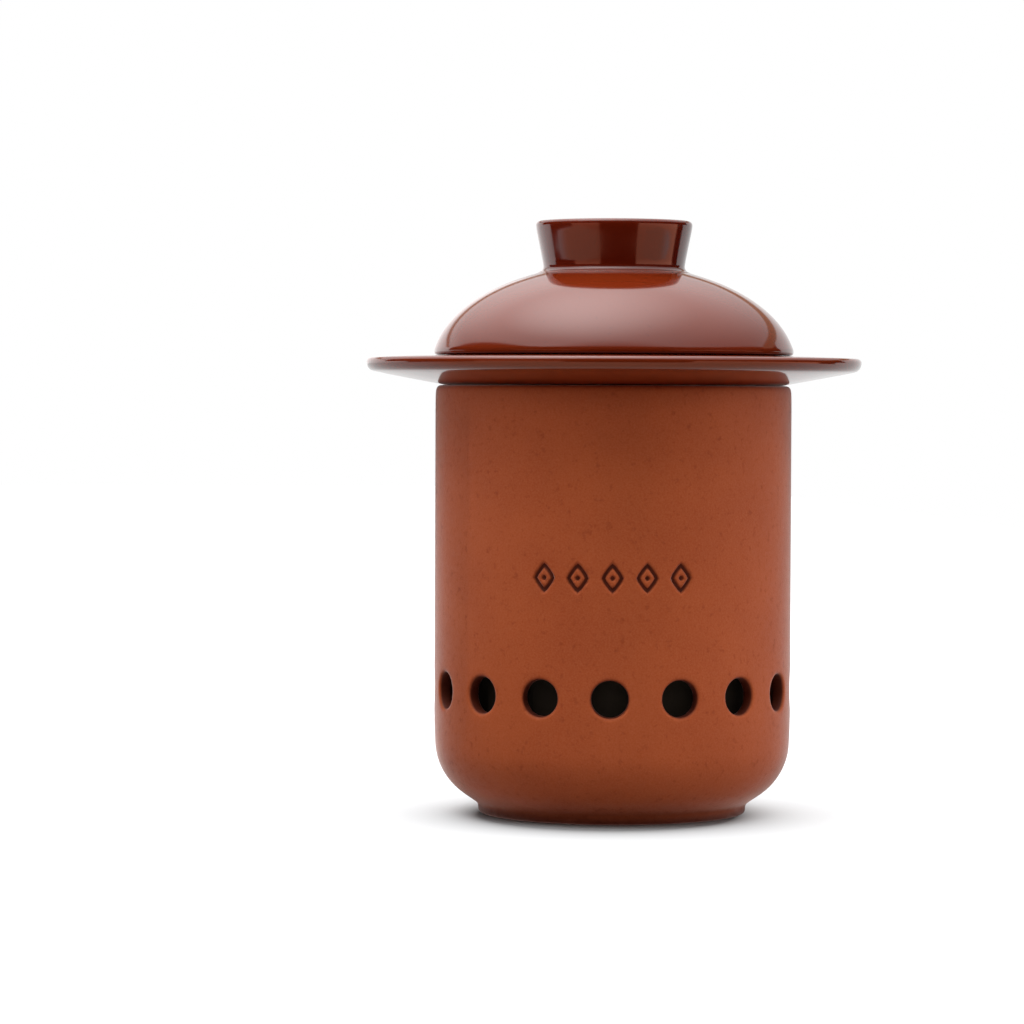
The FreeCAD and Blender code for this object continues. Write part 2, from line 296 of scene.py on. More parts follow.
cloth = bpy.data.materials.new("soft box")
tree, surface = empty_tree(cloth)
place = object_place(tree)
axes = add_node(tree, "SeparateXYZ", _0=place).outputs
from_lamp = add_node(
    tree, "VectorMath", {"operation": "DISTANCE"}, _0=place, _1=LAMP_PLACE
).outputs["Value"]
glow = calc(
    tree, "ADD", soft_step(tree, from_lamp, 0.0, LAMP_REACH, LAMP_GLOW, 0.0),
    soft_step(tree, from_lamp, 0.0, CLOTH_REACH, *CLOTH_GLOW),
)
glow = calc(tree, "MULTIPLY", glow, soft_step(tree, axes["X"], *BOX_SIDES, 1.0, BOX_RIGHT_SHARE))
hem = soft_step(tree, axes["Y"], BOX_FRONT, BOX_FRONT + BOX_HEM, BOX_HEM_SHARE, 1.0)
glow = calc(tree, "MULTIPLY", glow, hem)
mirrored = add_node(tree, "LightPath").outputs["Is Glossy Ray"]
on_matt = soft_step(tree, axes["Y"], BOX_FRONT, BOX_FRONT_PART, BOX_ON_MATT, 1.0)
glow = calc(tree, "MULTIPLY", glow, calc(tree, "MAXIMUM", mirrored, on_matt))
shine = add_node(tree, "Emission", Color=(1, 1, 1, 1), Strength=glow)
tree.links.new(shine.outputs[0], surface)
print("soft box: brightest", LAMP_GLOW + CLOTH_GLOW[0], "at", LAMP_PLACE)

# %% soft box
BOX_HALF_WIDTH = 1.90
BOX_FRONT_LEFT = 0.36        # shares of the half width at which its front edge ends
BOX_FRONT_RIGHT = 0.47
BOX_BACK = 1.78
BOX_CUT_FROM = (0.47, 1.65)  # its right back corner is cut off along the line
BOX_CUT_TO = (1.13, 1.06)    # through these two places
BOX_STRIP = 0.08, 0.17       # how far the strip hangs down at the left and at the right
STRIP_BROWN = (0.40, 0.28, 0.19, 1)
WALL_FADE = -0.3, 0.1        # a lit wall goes from its low to its high colour between these


def off_camera(sheet):
    """Hides a studio sheet from the camera and from shadows, and keeps it in reflections."""
    sheet.visible_camera = False
    sheet.visible_shadow = False


def verts_of(geom):
    """The points among what an operator hands back."""
    return [item for item in geom if isinstance(item, bmesh.types.BMVert)]


def lit_wall(name, low, high):
    """Wall that only mirrors see, from a colour low down to a colour at its top."""
    wall = bpy.data.materials.new(name)
    tree, surface = empty_tree(wall)
    height = add_node(tree, "SeparateXYZ", _0=object_place(tree)).outputs["Z"]
    paint = blend(tree, soft_step(tree, height, *WALL_FADE, 0.0, 1.0), low, high)
    mirror = add_node(tree, "LightPath").outputs["Is Glossy Ray"]
    tree.links.new(add_node(tree, "Emission", Color=paint, Strength=mirror).outputs[0], surface)
    return wall


bm = flat_sheet(-BOX_HALF_WIDTH, BOX_HALF_WIDTH, BOX_FRONT, BOX_BACK, BOX_HEIGHT)
for vert in bm.verts:
    if vert.co.y < 0:
        vert.co.x *= BOX_FRONT_RIGHT if vert.co.x > 0 else BOX_FRONT_LEFT
cut = Vector(BOX_CUT_TO) - Vector(BOX_CUT_FROM)
bmesh.ops.bisect_plane(
    bm, geom=bm.verts[:] + bm.edges[:] + bm.faces[:], plane_co=(*BOX_CUT_FROM, BOX_HEIGHT),
    plane_no=(-cut.y, cut.x, 0), clear_outer=True,
)
strip = bm.copy()
off_camera(stage_sheet("soft box", bm, cloth))
bmesh.ops.delete(strip, geom=strip.faces[:], context="FACES_ONLY")
bmesh.ops.delete(strip, geom=[v for v in strip.verts if v.co.y < 0], context="VERTS")
drop = bmesh.ops.extrude_edge_only(strip, edges=strip.edges[:])["geom"]
for vert in verts_of(drop):
    vert.co.z -= BOX_STRIP[1] if vert.co.x > 0 else BOX_STRIP[0]
print("soft box: hung, with a strip along", len(strip.faces), "of its edges")
brown_strip = lit_wall("brown strip", STRIP_BROWN, STRIP_BROWN)
off_camera(stage_sheet("soft box strip", strip, brown_strip))

# %% [markdown]
# ## The dark room
#
# Behind the camera the studio is unlit, and black cloths stand for that. They
# hang round the front and the sides, and only reflections and scattered light
# meet them. Low down in the dark stand two wooden walls, left and right of the
# camera: they are the two warm panels on the knob, and the dark gap between
# them, where the camera stands, is the stripe down its middle. A pale card and,
# further back, a bright white wall stand at the left, for the small light
# shapes that the glaze shows on that side. Three soft fill lights, one in front
# and one on each side, reach the clay under the plate's brim, where the soft
# box overhead can't. Low on the left a card keeps the table's light from the
# jar, as something small and near does that stands beside it.

# %% cloths and fill lights
EYE_LINE = 0.14              # height of the lid, from where the rises below are meant
FILL_COLOUR = (1, 0.94, 0.89, 1)


def round_sheet(name, radius, low, high, from_deg, to_deg, material):
    """A sheet bent round the pot, between two heights and two bearings from the front."""
    bm = bmesh.new()
    bm.edges.new([bm.verts.new((0, -radius, height)) for height in (low, high)])
    bmesh.ops.rotate(
        bm, cent=(0, 0, 0), matrix=Matrix.Rotation(radians(from_deg), 3, "Z"), verts=bm.verts
    )
    bmesh.ops.spin(
        bm, geom=bm.verts[:] + bm.edges[:], cent=(0, 0, 0), axis=(0, 0, 1),
        angle=radians(to_deg - from_deg), steps=48,
    )
    return stage_sheet(name, bm, material)


def hung_cloth(name, radius, from_rise, to_rise, from_deg, to_deg, material):
    """A cloth round the pot, off camera, between two angles as the lid sees them."""
    low, high = (EYE_LINE + radius * tan(radians(rise)) for rise in (from_rise, to_rise))
    off_camera(round_sheet(name, radius, low, high, from_deg, to_deg, material))


def felt(name, colour):
    """Plain matt cloth or paper."""
    material = bpy.data.materials.new(name)
    tree, surface = empty_tree(material)
    tree.links.new(add_node(tree, "BsdfDiffuse", Color=colour).outputs[0], surface)
    return material


def fill_light(name, strength):
    """Soft light that lights matt surfaces and isn't mirrored."""
    light = bpy.data.materials.new(name)
    tree, surface = empty_tree(light)
    ray = add_node(tree, "LightPath").outputs
    scattered = calc(tree, "MULTIPLY", ray["Is Diffuse Ray"], strength)
    glow = add_node(tree, "Emission", Color=FILL_COLOUR, Strength=scattered)
    empty = add_node(tree, "BsdfTransparent")
    both = add_node(
        tree, "MixShader", _0=ray["Is Glossy Ray"], _1=glow.outputs[0], _2=empty.outputs[0]
    )
    tree.links.new(both.outputs[0], surface)
    return light


# %% what hangs in the dark
CLOTH_RADIUS = 1.6
HIGH_CLOTH_RADIUS = 2.4
WALL_RADIUS = 1.4
FILL_RADIUS = 1.2
WHITE_RADIUS = 3.0
CARD_RADIUS = 0.12
FRONT_GLOW = 1.75
LEFT_GLOW = 1.4
RIGHT_GLOW = 2.2

black_cloth = felt("black cloth", (0.01, 0.01, 0.01, 1))
left_wood = lit_wall("left wood", (1.10, 0.40, 0.23, 1), (2.0, 0.68, 0.42, 1))
right_wood = lit_wall("right wood", (1.50, 0.60, 0.37, 1), (2.3, 0.92, 0.60, 1))
card = lit_wall("pale card", (2.1, 1.4, 1.35, 1), (2.1, 1.4, 1.35, 1))
bright_white = lit_wall("bright white", (1.45, 1.42, 1.42, 1), (1.45, 1.42, 1.42, 1))
# name, radius, rise from and to, bearing from and to, material
HANGINGS = [
    ("low black cloth", CLOTH_RADIUS, -42, 0, -109, 122, black_cloth),
    ("high black cloth", HIGH_CLOTH_RADIUS, 0, 45, -130, 134, black_cloth),
    ("left wooden wall", WALL_RADIUS, -42, -1, -65, -22, left_wood),
    ("right wooden wall", WALL_RADIUS, -42, -1, 36, 107, right_wood),
    ("pale card", WALL_RADIUS, -16.5, -11.5, -95, -66, card),
    ("left white wall", WHITE_RADIUS, -10, 14, -175, -104, bright_white),
    ("front light", FILL_RADIUS, 14, 36, -70, 60, fill_light("front light", FRONT_GLOW)),
    ("left light", FILL_RADIUS, -8, 26, -130, -55, fill_light("left light", LEFT_GLOW)),
    ("right light", FILL_RADIUS, -8, 26, 60, 130, fill_light("right light", RIGHT_GLOW)),
    ("low left card", CARD_RADIUS, -49, -36, -105, -30, fill_light("low left card", 0.0)),
]
for hanging in HANGINGS:
    hung_cloth(*hanging)
print(len(HANGINGS), "cloths, walls and fill lights hung")

# %% [markdown]
# ## In place of the garlic
#
# Behind the vents a filled keeper is dark. A roll of dark paper stands in the
# jar in place of the bulbs, so that we don't look straight through the pot at
# the backdrop. It belongs to the studio and not to the pot.

# %% dark roll
ROLL_RADIUS = 0.043
ROLL_LOW, ROLL_HIGH = 0.008, 0.062
dark_paper = felt("dark paper", (0.035, 0.028, 0.022, 1))
round_sheet("dark roll", ROLL_RADIUS, ROLL_LOW, ROLL_HIGH, 0, 360, dark_paper)
print(f"dark roll: {2000 * ROLL_RADIUS:.0f} mm wide, up to {1000 * ROLL_HIGH:.0f} mm")

# %% [markdown]
# ## Bare clay
#
# The jar is unglazed terracotta: iron-red, matt, with a fine sandy grain, soft
# cloudy patches from the kiln and faint rings from the wheel. A matt surface
# goes pale where we see it nearly edge-on, which is what the sheen gives. We
# mix three noises of very different size for the colour, and use the finest
# one and the rings for the bump, all on Object coordinates, so that the grain
# has the same real size everywhere. Whatever is pressed or cut into the skin,
# and the foot towards its edge, is painted darker and loses its sheen: this is
# painted shade, where little light reaches.

# %% colours, noise and painted shade
# painted shade: the clay is darkened in these cuts and towards the foot's edge
CUT_RADII = (0.0461, 0.0466), (0.0493, 0.04993)   # cuts lie between these two fades
CUT_HEIGHTS = (0.024, 0.029), (0.082, 0.086)      # from under the vents to over the stamps
SHADED_FOOT = 0.0, 0.0048                           # the foot is darkest at the table


def linear(paint):
    """Colour for a socket, from the red, green and blue of a paint chart, 0 to 255."""
    return tuple(
        (c / 255 / 12.92 if c < 10.3 else ((c / 255 + 0.055) / 1.055) ** 2.4) for c in paint
    ) + (1,)


def cloud(tree, place, size, detail=2.0, roughness=0.5):
    """Noise whose blobs are about a size in metres across, from 0 to 1."""
    return add_node(
        tree, "TexNoise", Vector=place, Scale=1 / size, Detail=detail, Roughness=roughness
    ).outputs["Fac"]


def painted_shade_mask(tree, place):
    """Painted shade: 1 in what is cut into the jar's skin and towards the edge of its foot, 0
    elsewhere.
    """
    height = add_node(tree, "SeparateXYZ", _0=place).outputs["Z"]
    flat = add_node(tree, "VectorMath", {"operation": "MULTIPLY"}, _0=place, _1=(1, 1, 0))
    radius = add_node(
        tree, "VectorMath", {"operation": "LENGTH"}, _0=flat.outputs[0]
    ).outputs["Value"]
    cut_in = 1.0
    for value, (rise, fall) in ((radius, CUT_RADII), (height, CUT_HEIGHTS)):
        cut_in = calc(tree, "MULTIPLY", cut_in, spread(tree, value, *rise))
        cut_in = calc(tree, "MULTIPLY", cut_in, spread(tree, value, *fall, 1.0, 0.0))
    return calc(tree, "MAXIMUM", cut_in, soft_step(tree, height, *SHADED_FOOT, 1.0, 0.0))


# %% terracotta
GRAIN, SPECKLE, PATCH = 0.0005, 0.0018, 0.022     # sizes of the three noises
RINGS = (6.0, 6.0, 260.0)                         # noise squeezed flat, to the metre
CLAY = (165, 75, 35), (174, 82, 40)
SAND = (208, 120, 82)
IRON_SPECK = (122, 48, 21)
# colour of the painted shade in the cuts and at the foot's edge
PAINTED_SHADE_COLOUR = (56, 10, 2)


def terracotta():
    """Bare fired clay."""
    clay = bpy.data.materials.new("terracotta")
    tree, surface = empty_tree(clay)
    place = object_place(tree)
    grain = cloud(tree, place, GRAIN, detail=3.0, roughness=0.6)
    speckle = cloud(tree, place, SPECKLE)
    patch = cloud(tree, place, PATCH, detail=3.0)
    rings_place = add_node(tree, "Mapping", Vector=place, Scale=RINGS).outputs[0]
    rings = add_node(tree, "TexNoise", Vector=rings_place, Scale=1.0, Detail=2.0).outputs["Fac"]
    colour = blend(tree, spread(tree, patch, 0.3, 0.7), *map(linear, CLAY))
    colour = blend(tree, spread(tree, grain, 0.35, 0.75, 0.0, 0.22), colour, linear(SAND))
    colour = blend(tree, spread(tree, speckle, 0.60, 0.76, 0.0, 0.36), colour, linear(IRON_SPECK))
    # painted shade: the cuts and the foot's edge are darkened and lose their sheen
    painted_shade_amount = painted_shade_mask(tree, place)
    colour = blend(tree, calc(tree, "MULTIPLY", painted_shade_amount, 0.9), colour, linear(PAINTED_SHADE_COLOUR))
    fine = add_node(tree, "Bump", Height=grain, Strength=0.35, Distance=0.00012)
    thrown = add_node(
        tree, "Bump", Height=rings, Strength=0.25, Distance=0.00015, Normal=fine.outputs[0]
    )
    body = add_node(
        tree, "BsdfPrincipled", Base_Color=colour,
        Roughness=spread(tree, speckle, 0.3, 0.7, 0.56, 0.70), Normal=thrown.outputs[0],
        Sheen_Weight=spread(tree, painted_shade_amount, 0.0, 1.0, 0.90, 0.15), Sheen_Roughness=0.28,
        Sheen_Tint=(1.0, 0.86, 0.84, 1), Specular_IOR_Level=0.20,
    )
    tree.links.new(body.outputs[0], surface)
    return clay


bare_clay = terracotta()
print("material:", bare_clay.name, len(bare_clay.node_tree.nodes), "nodes")

# %% [markdown]
# ## Brown glaze
#
# Plate and lid wear a clear, glossy glaze over the same red clay, stained deep
# brown. It is a hard smooth film, so its roughness is low, but a dipped glaze
# is never quite even: it runs a little thinner and redder in soft clouds, it
# lies thicker and darker on the knob, which was dipped twice, and its skin has
# a very slight ripple that bends the reflections.

# %% glaze
DIP, FLECK, RIPPLE = 0.035, 0.0011, 0.012    # sizes of the three noises
KNOB_FOOT = 0.1516, 0.1524                   # heights between which the thicker glaze begins
GLAZE = (107, 36, 12)
THICK_GLAZE = (86, 16, 4)
THIN_GLAZE = (118, 38, 13)
DARK_FLECK = (58, 16, 8)


def brown_glaze():
    """Glossy red-brown glaze over red clay."""
    glaze = bpy.data.materials.new("brown glaze")
    tree, surface = empty_tree(glaze)
    place = object_place(tree)
    dip = cloud(tree, place, DIP, detail=3.0)
    fleck = cloud(tree, place, FLECK)
    ripple = cloud(tree, place, RIPPLE, detail=1.0)
    height = add_node(tree, "SeparateXYZ", _0=place).outputs["Z"]
    on_knob = soft_step(tree, height, *KNOB_FOOT, 0.0, 1.0)
    colour = blend(tree, on_knob, linear(GLAZE), linear(THICK_GLAZE))
    colour = blend(tree, spread(tree, dip, 0.3, 0.7, 0.0, 0.5), colour, linear(THIN_GLAZE))
    colour = blend(tree, spread(tree, fleck, 0.62, 0.8, 0.0, 0.25), colour, linear(DARK_FLECK))
    skin = add_node(tree, "Bump", Height=ripple, Strength=0.06, Distance=0.0006)
    film = add_node(
        tree, "BsdfPrincipled", Base_Color=colour,
        Roughness=spread(tree, dip, 0.3, 0.7, 0.075, 0.12), IOR=1.5, Normal=skin.outputs[0],
    )
    tree.links.new(film.outputs[0], surface)
    return glaze


glossy_brown = brown_glaze()
print("material:", glossy_brown.name, len(glossy_brown.node_tree.nodes), "nodes")

# %% [markdown]
# ## From a mesh to a finished piece
#
# We model in millimetres, as a potter measures, and turn to metres at the very
# end. One helper does what every piece needs: it merges doubled points, turns
# the faces outwards, smooths the shading, adds a Subdivision Surface that
# rounds the last corners, hangs the piece on the empty of the body it rides
# on, and hides the CAD nodes it stands for.

# %% finishing helper
DOUBLED = 0.001              # mm; points closer than this are one


def fire(name, bm, finish, body, stands_for, smoothing=1):
    """Makes a piece of a bmesh in millimetres and puts it in the frame."""
    bmesh.ops.remove_doubles(bm, verts=bm.verts, dist=DOUBLED)
    bmesh.ops.recalc_face_normals(bm, faces=bm.faces)
    bmesh.ops.scale(bm, vec=(MM, MM, MM), verts=bm.verts)
    holes = sum(not edge.is_manifold for edge in bm.edges)
    mesh = bpy.data.meshes.new(name)
    bm.to_mesh(mesh)
    bm.free()
    mesh.shade_smooth()
    mesh.materials.append(finish)
    piece = bpy.data.objects.new(name, mesh)
    scene.collection.objects.link(piece)
    rounding = piece.modifiers.new("round off", "SUBSURF")
    rounding.levels = rounding.render_levels = smoothing
    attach(piece, body)
    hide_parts(*stands_for)
    triangles = 2 * len(mesh.polygons) * 4**smoothing
    print(f"{name}: {len(mesh.polygons)} faces, {holes} open edges, about {triangles} triangles")


# %% [markdown]
# ## The vents, in a flat slab
#
# Round holes in a round wall are awkward to mesh, but they are easy in a flat
# one. So we work as a slab builder does: cut the wall flat, pierce it, then
# roll it up. One cell of the slab is a square with one vent. It starts as a
# circle of 16 points whose outer ring we push out to a square, so that cells
# join edge to edge, and its open edge is then drawn through ring after ring:
# over the soft lip, down the tunnel, and out to a square on the inner face.
# Each point keeps its angle round the vent in a layer of its own, so both
# squares have their points at the same places.
# Here x runs along the wall, y up it, and z is how far a point stands outside
# the skin.

# %% sizes of the jar's wall
JAR_RADIUS = 50.0
JAR_HEIGHT = 120.0
JAR_WALL = 4.0
VENT_COUNT = 16
COLUMNS = 4 * VENT_COUNT     # columns of faces round the wall, four to each vent
VENT_RADIUS = 5.0
VENT_HEIGHT = 35.3
VENT_TURN_DEG = -90.7        # bearing of the first vent, from +X
CELL = tau * JAR_RADIUS / VENT_COUNT


# %% one cell with its vent
RING_POINTS = 16
# (radius, depth) of each ring, from the outer face through the vent; None is the square
VENT_RINGS = [
    (None, 0.0), (7.9, 0.0), (6.35, 0.0), (5.62, 0.10), (5.16, 0.50), (5.02, 1.2), (VENT_RADIUS, 2.6),
    (5.05, 3.35), (5.4, 3.85), (6.3, JAR_WALL), (7.9, JAR_WALL), (None, JAR_WALL),
]


def edges_of(geom):
    """The edges among what an operator hands back."""
    return [item for item in geom if isinstance(item, bmesh.types.BMEdge)]


def drawn_in(corners):
    """How far one smoothing step draws a ring of corners in, as a share of its radius."""
    return 0.75 + 0.25 * cos(tau / corners)


def on_square(angle, half):
    """Point on a square: eighths of a turn fall on its corners and the middles of its sides."""
    quarter = round(angle / (tau / 4))
    along = half * (angle - quarter * tau / 4) / (tau / 8)
    return Matrix.Rotation(quarter * tau / 4, 2) @ Vector((half, along))


def on_ring(angle, radius, depth):
    """Point on a straight round bar through the wall, at a depth below the skin."""
    across = radius / drawn_in(RING_POINTS) * cos(angle)
    along = JAR_RADIUS * asin(across / (JAR_RADIUS - depth))
    return Vector((along, radius / drawn_in(RING_POINTS) * sin(angle)))


cell = bmesh.new()
bmesh.ops.create_circle(cell, segments=RING_POINTS, radius=1.0)
spoke = cell.verts.layers.float.new("spoke")
for vert in cell.verts:
    vert[spoke] = atan2(vert.co.y, vert.co.x)
ring_verts, ring_edges = cell.verts[:], cell.edges[:]
for step, (radius, depth) in enumerate(VENT_RINGS):
    if step > 0:
        drawn = bmesh.ops.extrude_edge_only(cell, edges=ring_edges)["geom"]
        ring_verts, ring_edges = verts_of(drawn), edges_of(drawn)
    for vert in ring_verts:
        angle = vert[spoke]
        flat = on_square(angle, CELL / 2) if radius is None else on_ring(angle, radius, depth)
        vert.co = (flat.x, flat.y, -depth)
cell.verts.layers.float.remove(spoke)
print("cell:", len(cell.verts), "points,", len(cell.faces), "faces")

# %% [markdown]
# ## Sixteen cells, rolled up
#
# The slab is the cell repeated once for each vent. Rolling it up is one
# formula: the place along the wall becomes a bearing, and the place through
# the wall becomes a radius. The two ends of the slab then touch, and merging
# doubled points closes the seam.

# %% slab and roll
first = cell.verts[:] + cell.edges[:] + cell.faces[:]
for number in range(1, VENT_COUNT):
    copy = bmesh.ops.duplicate(cell, geom=first)["geom"]
    bmesh.ops.translate(cell, vec=(number * CELL, 0, 0), verts=verts_of(copy))
wall = cell
for vert in wall.verts:
    bearing = radians(VENT_TURN_DEG) + vert.co.x / JAR_RADIUS
    radius = JAR_RADIUS + vert.co.z
    vert.co = (radius * cos(bearing), radius * sin(bearing), VENT_HEIGHT + vert.co.y)
bmesh.ops.remove_doubles(wall, verts=wall.verts, dist=DOUBLED)
BAND_LOW = VENT_HEIGHT - CELL / 2
BAND_HIGH = VENT_HEIGHT + CELL / 2
print(f"vent band: from {BAND_LOW:.2f} to {BAND_HIGH:.2f} mm up,", len(wall.faces), "faces")


# %% [markdown]
# ## The rest of the jar
#
# Above and below the vents the jar is simply round. We take the open edge of
# the band and draw it on, one ring of faces at a time, through a list of
# radii and heights, as a wall grows between a potter's fingers: up, over the
# soft rim and down the inside until it meets the band again, then down over
# the round turn, along the sloping base, round the foot and into its recess.

# %% drawing clay on
NEAR = 0.1                   # mm; a point this close to a place counts as being there


def open_edge(bm, radius, height):
    """The loop of open edges at a radius and height."""
    return [
        edge for edge in bm.edges if edge.is_boundary
        and all(
            abs(hypot(v.co.x, v.co.y) - radius) < NEAR and abs(v.co.z - height) < NEAR
            for v in edge.verts
        )
    ]


def draw_on(bm, edges, places):
    """Draws an open loop of edges on through (radius, height) places."""
    for radius, height in places:
        drawn = bmesh.ops.extrude_edge_only(bm, edges=edges)["geom"]
        edges = edges_of(drawn)
        for vert in verts_of(drawn):
            bearing = atan2(vert.co.y, vert.co.x)
            vert.co = (radius * cos(bearing), radius * sin(bearing), height)
    return edges


def arc(centre_radius, centre_height, radius, from_deg, to_deg, steps):
    """Places along a round turn of the outline."""
    angles = [radians(from_deg + (to_deg - from_deg) * i / steps) for i in range(steps + 1)]
    return [(centre_radius + radius * cos(a), centre_height + radius * sin(a)) for a in angles]


print("open loop over the vents:", len(open_edge(wall, JAR_RADIUS, BAND_HIGH)), "edges")

# %% wall, rim and inside
STAMP_ROWS = 61.6, 68.0, 74.4
JAR_BORE = JAR_RADIUS - JAR_WALL
up_and_over = [(JAR_RADIUS, h) for h in (53.0,) + STAMP_ROWS + (84.0, 95.0, 106.0, 113.5)] + [
    (JAR_RADIUS - 0.02, 117.0), (JAR_RADIUS - 0.12, 118.6), (JAR_RADIUS - 0.45, 119.55),
    (JAR_RADIUS - 1.3, JAR_HEIGHT), (JAR_RADIUS - 2.7, JAR_HEIGHT), (JAR_BORE + 0.35, 119.65),
    (JAR_BORE, 118.8), (JAR_BORE, 114.0), (JAR_BORE, 98.0), (JAR_BORE, 80.0), (JAR_BORE, 62.0),
    (JAR_BORE, BAND_HIGH),
]
draw_on(wall, open_edge(wall, JAR_RADIUS, BAND_HIGH), up_and_over)
bmesh.ops.remove_doubles(wall, verts=wall.verts, dist=DOUBLED)
print("wall and rim:", len(wall.faces), "faces")

# %% base and foot
TURN_CENTRE = 32.0, 20.4
TURN_RADIUS = 18.0
SLOPE_DEG = 32.0
FOOT_RADIUS = 37.6
FOOT_INNER = 32.6
RECESS = 2.2
FLOOR = 6.7
down_and_under = [(JAR_RADIUS - 0.08, 22.4)] + arc(
    *TURN_CENTRE, TURN_RADIUS - 0.1, -7.0, SLOPE_DEG - 90, 6
) + [
    (FOOT_RADIUS + 0.9, 3.3), (FOOT_RADIUS + 0.15, 2.6), (FOOT_RADIUS, 1.6), (FOOT_RADIUS, 0.5),
    (FOOT_RADIUS - 0.6, 0.0), (35.1, 0.0), (FOOT_INNER + 0.6, 0.0), (FOOT_INNER, 0.5),
    (FOOT_INNER, RECESS - 0.4), (FOOT_INNER - 0.7, RECESS), (20.0, RECESS), (6.0, RECESS),
]
last = draw_on(wall, open_edge(wall, JAR_RADIUS, BAND_LOW), down_and_under)
bmesh.ops.contextual_create(wall, geom=last)
down_inside = arc(*TURN_CENTRE, TURN_RADIUS - JAR_WALL, 0.0, SLOPE_DEG - 90, 5) + [
    (38.3, 7.85), (36.3, 6.95), (34.0, FLOOR), (20.0, FLOOR), (6.0, FLOOR),
]
last = draw_on(wall, open_edge(wall, JAR_BORE, BAND_LOW), down_inside)
bmesh.ops.contextual_create(wall, geom=last)
print("jar:", len(wall.faces), "faces,", sum(e.is_boundary for e in wall.edges), "open edges")

# %% [markdown]
# ## The stamped band
#
# On the front, a wooden stamp pressed a short row of lozenges into the wet
# clay. Each one is a real groove with a dot in the middle. The two columns and
# two rows of faces round a stamp's centre become one eight-sided face. Insets
# then give it ring after ring, and each ring is set to a lozenge of the right
# size and depth: its corners sit on the axes, and the points between them on
# the middles of its sides.

# %% columns under the stamps
STAMP_COUNT = 5
STAMP_PITCH = 9.5
STAMP_HALF_WIDTH = 3.5
STAMP_HALF_HEIGHT = 4.7
FRONT = radians(-90)
column_turn = tau / COLUMNS
stamp_turn = STAMP_PITCH / JAR_RADIUS
half_row = STAMP_COUNT       # columns from the middle of the row to its end


def squared_up(bearing):
    """Bearing of a wall column, moved so that two columns make one stamp's pitch."""
    column = ((bearing - radians(VENT_TURN_DEG) + tau / 2) % tau - tau / 2) / column_turn
    end = half_row * stamp_turn / 2
    beyond = (tau / 2 - end) / (COLUMNS / 2 - half_row)
    inside = max(-half_row, min(half_row, column))
    return FRONT + inside * stamp_turn / 2 + (column - inside) * beyond


for vert in wall.verts:
    on_skin = hypot(vert.co.x, vert.co.y) > JAR_RADIUS - NEAR
    if on_skin and any(abs(vert.co.z - row) < NEAR for row in STAMP_ROWS):
        bearing = squared_up(atan2(vert.co.y, vert.co.x))
        vert.co = (JAR_RADIUS * cos(bearing), JAR_RADIUS * sin(bearing), vert.co.z)
print(f"stamps: one every {degrees(stamp_turn):.2f} degrees")

# %% press the stamps
SIDE = hypot(STAMP_HALF_WIDTH, STAMP_HALF_HEIGHT)
CORNER_CREASE = 0.6          # keeps a lozenge's corners from rounding off
# (distance in from the outer lozenge, depth) of each ring of the line
LINE_RINGS = [
    (-0.30, 0.0), (0.0, 0.14), (0.20, 0.72), (0.60, 0.85), (1.00, 0.72), (1.20, 0.14), (1.50, 0.0),
]
# (radius, depth) of each ring of the dot
DOT_RINGS = [(1.05, 0.0), (0.85, 0.14), (0.65, 0.60), (0.25, 0.75)]


def lozenge_point(eighth, inset):
    """Corner or side middle of a lozenge drawn in by an inset, square to its sides."""
    half_width = STAMP_HALF_WIDTH - inset * SIDE / STAMP_HALF_HEIGHT
    half_height = STAMP_HALF_HEIGHT - inset * SIDE / STAMP_HALF_WIDTH
    share = 1.0 if eighth % 2 == 0 else sqrt(0.5)
    turn = eighth * tau / 8
    return half_width * share * cos(turn), half_height * share * sin(turn)


def press(bm, bearing, height):
    """Presses one stamp into the skin."""
    def across(vert):
        return JAR_RADIUS * (atan2(vert.co.y, vert.co.x) - bearing)

    def from_centre(vert):
        return hypot(across(vert), vert.co.z - height, hypot(vert.co.x, vert.co.y) - JAR_RADIUS)

    bmesh.ops.dissolve_verts(bm, verts=[min(bm.verts, key=from_centre)])
    middle = Vector((JAR_RADIUS * cos(bearing), JAR_RADIUS * sin(bearing), height))
    face = min(bm.faces, key=lambda f: (f.calc_center_median() - middle).length)
    sharp = bm.verts.layers.float.get("crease_vert") or bm.verts.layers.float.new("crease_vert")
    rings = [("line", *ring) for ring in LINE_RINGS] + [("dot", *ring) for ring in DOT_RINGS]
    for kind, size, depth in rings:
        bmesh.ops.inset_individual(bm, faces=[face], thickness=0.1, use_even_offset=True)
        for vert in face.verts:
            eighth = round(atan2(vert.co.z - height, across(vert)) / (tau / 8))
            if kind == "line":
                x, z = lozenge_point(eighth, size)
                vert[sharp] = CORNER_CREASE if eighth % 2 == 0 else 0.0
            else:
                x, z = size * cos(eighth * tau / 8), size * sin(eighth * tau / 8)
            turn = bearing + x / JAR_RADIUS
            out = JAR_RADIUS - depth
            vert.co = (out * cos(turn), out * sin(turn), height + z)


for number in range(STAMP_COUNT):
    press(wall, FRONT + (number - (STAMP_COUNT - 1) / 2) * stamp_turn, STAMP_ROWS[1])
print("jar with stamps:", len(wall.faces), "faces")

# %% finish the jar
outwards = 1 / drawn_in(COLUMNS)
bmesh.ops.scale(wall, vec=(outwards, outwards, 1), verts=wall.verts)
print(f"corners moved {JAR_RADIUS * (outwards - 1):.2f} mm out, to end up on the skin when smoothed")
fire("fired_jar", wall, bare_clay, "jar", ["jar_body"])

# %% [markdown]
# ## A card template for turned pieces
#
# Plate and lid are turned on the wheel against a template: a card cut to half
# of the piece's outline, held still while the clay spins past it. We cut the
# same card. It is one flat face in the XZ plane whose corners are bevelled
# round. The face is then thrown away, together with the side that lies on the
# axis, and its outline is spun full circle.

